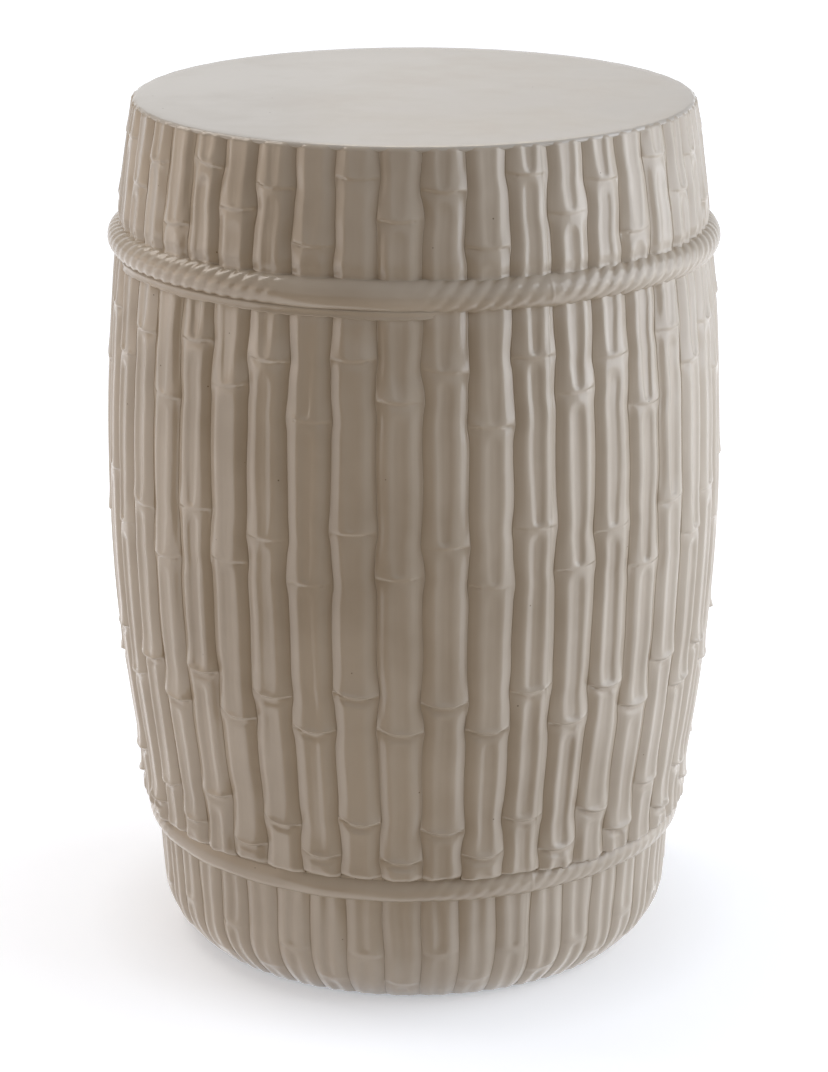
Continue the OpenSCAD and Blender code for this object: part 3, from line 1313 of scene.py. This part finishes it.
@dataclass
class Studio:
    """Pale floor with a painted shadow and a painted reflection glow, white surround, soft lamps
    and the camera.
    """

    camera_place: tuple[float, float, float] = (0.0, -1.8957, 0.8090)
    camera_pitch: float = 0.3006
    focal_px: float = 3606.7
    picture_h_px: float = 1072.0
    sensor: float = 36.0
    clip_end: float = 50.0
    floor_half_w: float = 12.0
    paper_seen: str = "#f2f3f6"
    paper_bounce: str = "#f0e8de"
    paper_light: str = "#f1f7ff"
    # Glow that only the glaze's reflections see: a painted bright reflection beside and behind the
    # stool, and a painted dark reflection in a wedge in front of it.
    reflection_front: float = -0.18
    reflection_blur: float = 0.03
    reflection_wedge: float = 0.5
    painted_reflection_glow: float = 0.9
    painted_reflection_shade: float = -0.35
    room_tone: str = "#fff2e6"
    room_light: float = 0.25
    backdrop_start: tuple[float, float] = (0.05, 0.7)
    backdrop_tilt: float = 0.3
    backdrop_left: tuple[float, float] = (-0.6, -0.1)
    backdrop_left_share: float = 0.5
    # Floor glow to the camera by distance from the stool: dimmed near it as a painted contact
    # shadow, white further out.
    paper_glow_with_painted_shadow: Steps = ((0.125, 0.40), (0.185, 0.60), (0.40, 0.78), (0.90, 1.0))
    backdrop_glow: Steps = ((0.15, 1.0), (0.175, 0.85), (0.205, 0.62), (0.38, 0.3))
    lamps: tuple[SoftLamp, ...] = (
        SoftLamp("right_window", (1.88, -0.14, 0.75), (0, 0, 0.25), (2.0, 2.4), 31.2, "#f0f6ff"),
        SoftLamp("left_window", (-1.6, -0.14, 0.46), (0, 0, 0.2), (1.8, 0.7), 3.6, "#ffe9d6"),
        SoftLamp("high_left", (-0.75, 0.35, 1.35), (0, 0, 0.45), (0.74, 0.7), 4.6, "#fff8f1"),
        SoftLamp("back_window", (0.12, 3.0, 1.5), (0, 0, 0.45), (0.55, 0.35), 1.6, "#ffeccf"),
    )

    def build(self) -> None:
        """Adds everything round the stool."""
        self.build_floor()
        self.build_world()
        for lamp in self.lamps:
            lamp.build()
        self.build_camera()

    def build_floor(self) -> None:
        """Adds a wide white floor that keeps the stool's shadow."""
        bm = bmesh.new()
        bmesh.ops.create_grid(bm, x_segments=1, y_segments=1, size=self.floor_half_w)
        mesh = bpy.data.meshes.new("studio_floor")
        bm.to_mesh(mesh)
        bm.free()
        floor = bpy.data.objects.new("studio_floor", mesh)
        bpy.context.scene.collection.objects.link(floor)
        mesh.materials.append(self.paper())
        floor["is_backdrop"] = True

    def paper(self) -> Material:
        """Makes matt paper, white to the camera with a painted shadow round the stool, and with a
        painted reflection glow that only the glaze sees.
        """
        material = bpy.data.materials.new("white_studio_paper")
        kit = NodeKit(material)
        rays = kit.rays()
        place = kit.place()
        reach = kit.add("ShaderNodeVectorMath", {0: place}, operation="LENGTH").outputs["Value"]
        # Painted contact shadow: the camera's glow is weaker close to the stool.
        glow_with_painted_shadow = kit.ramp(reach, [(stop, grey(level)) for stop, level in self.paper_glow_with_painted_shadow])
        to_eye = kit.calc("MULTIPLY", glow_with_painted_shadow, rays["Is Camera Ray"])
        axes = kit.axes(place)
        aside = kit.calc("ABSOLUTE", axes["X"])
        # Painted reflection: the floor glows for glossy rays beside and behind the stool and
        # darkens them in front.
        ahead = kit.calc("MULTIPLY_ADD", aside, self.reflection_wedge, axes["Y"])
        edge = (self.reflection_front - self.reflection_blur, self.reflection_front + self.reflection_blur)
        reflection_level = kit.remap(ahead, *edge, self.painted_reflection_shade, self.painted_reflection_glow)
        to_gloss = kit.calc("MULTIPLY", reflection_level, rays["Is Glossy Ray"])
        tones = [srgb_to_linear(tone) for tone in (self.paper_bounce, self.paper_seen)]
        kit.surface(
            Base_Color=kit.mix(rays["Is Camera Ray"], *tones),
            Roughness=0.9,
            Specular_IOR_Level=0.0,
            Emission_Color=srgb_to_linear(self.paper_light),
            Emission_Strength=kit.calc("ADD", to_eye, to_gloss),
        )
        return material

    def build_world(self) -> None:
        """Sets a white surround to the camera and a dim room to the stool's own light."""
        world = bpy.data.worlds.new("studio_surround")
        bpy.context.scene.world = world
        kit = NodeKit(world)
        rays = kit.rays()
        axes = kit.axes(kit.place("Generated"))
        behind = kit.remap(axes["Y"], *self.backdrop_start)
        tilted = kit.calc("MULTIPLY_ADD", axes["X"], self.backdrop_tilt, axes["Z"])
        below_top = kit.ramp(tilted, [(stop, grey(level)) for stop, level in self.backdrop_glow])
        leftwards = kit.remap(axes["X"], *self.backdrop_left, self.backdrop_left_share)
        backdrop = kit.calc("MULTIPLY", behind, kit.calc("MULTIPLY", leftwards, below_top))
        mirrored = kit.calc("MAXIMUM", rays["Is Glossy Ray"], rays["Is Transmission Ray"])
        sweep = kit.calc("MULTIPLY", mirrored, backdrop)
        white = kit.calc("MAXIMUM", rays["Is Camera Ray"], sweep)
        room = {"Color": srgb_to_linear(self.room_tone), "Strength": self.room_light}
        surround = {"Color": grey(1.0), "Strength": 1.0}
        inputs = [kit.add("ShaderNodeBackground", look).outputs[0] for look in (room, surround)]
        mix = kit.add("ShaderNodeMixShader", {0: white, 1: inputs[0], 2: inputs[1]})
        kit.add("ShaderNodeOutputWorld", {"Surface": mix.outputs[0]})

    def build_camera(self) -> None:
        """Adds the camera where the photograph's perspective puts it."""
        data = bpy.data.cameras.new("photo_camera")
        data.sensor_fit = "VERTICAL"
        data.sensor_height = self.sensor
        data.lens = self.focal_px * self.sensor / self.picture_h_px
        data.clip_end = self.clip_end
        camera = bpy.data.objects.new("photo_camera", data)
        camera.location = self.camera_place
        camera.rotation_euler = (math.pi / 2 - self.camera_pitch, 0, 0)
        bpy.context.scene.collection.objects.link(camera)
        bpy.context.scene.camera = camera


def main() -> None:
    """Builds the stool, then its studio."""
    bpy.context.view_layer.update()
    form = BarrelForm.from_frame()
    relief = CaneRelief(form)
    cane_glaze = CeramicGlaze("poured_white_glaze_canes").build()
    rope_glaze = CeramicGlaze("poured_white_glaze_rope").build()
    # Seat glaze: its paler, greyer crest and film are painted light for the top of the stool under
    # cooler light from above; the broader waves, no fibre and lower roughness are the seat's own.
    seat_glaze = CeramicGlaze(
        "poured_white_glaze_seat_painted_light",
        crest="#d9d6d0",
        film="#d7d3cd",
        wave_size=45 * MM,
        fibre_depth=0.0,
        roughness=0.12,
    ).build()
    # Darker glaze on the wall behind the canes: pooled glaze, and painted shade where the wall
    # shows in the recessed step under the stubs.
    wall_glaze = CeramicGlaze("pooled_glaze_wall_with_painted_shade", crest="#b8ab99", film="#b3a591").build()
    clay = BareStoneware().build()
    Body(form, relief, wall_glaze, seat_glaze, clay).build()
    Canes(relief, cane_glaze).build()
    FootCanes(relief, cane_glaze).build()
    RopeBand(
        "upper_rope_band",
        "upper_rope",
        form.upper_rope,
        rope_glaze,
        relief,
        ridges=118,
        ridge_depth=0.7 * MM,
        smooth_spans=((-12.5, 15.5), (25.5, 2.5), (150.0, 8.0)),
        skirt_span=(-75.0, 6.0),
    ).build()
    RopeBand(
        "lower_rope_band",
        "lower_rope",
        form.lower_rope,
        rope_glaze,
        relief,
        ridges=114,
        ridge_depth=0.4 * MM,
        smooth_spans=((-30.0, 33.0), (165.0, 14.0)),
        flattening=2.2 * MM,
    ).build()
    Studio().build()
    scene = bpy.context.scene
    scene.view_settings.view_transform = "Standard"


if __name__ == "__main__":
    main()
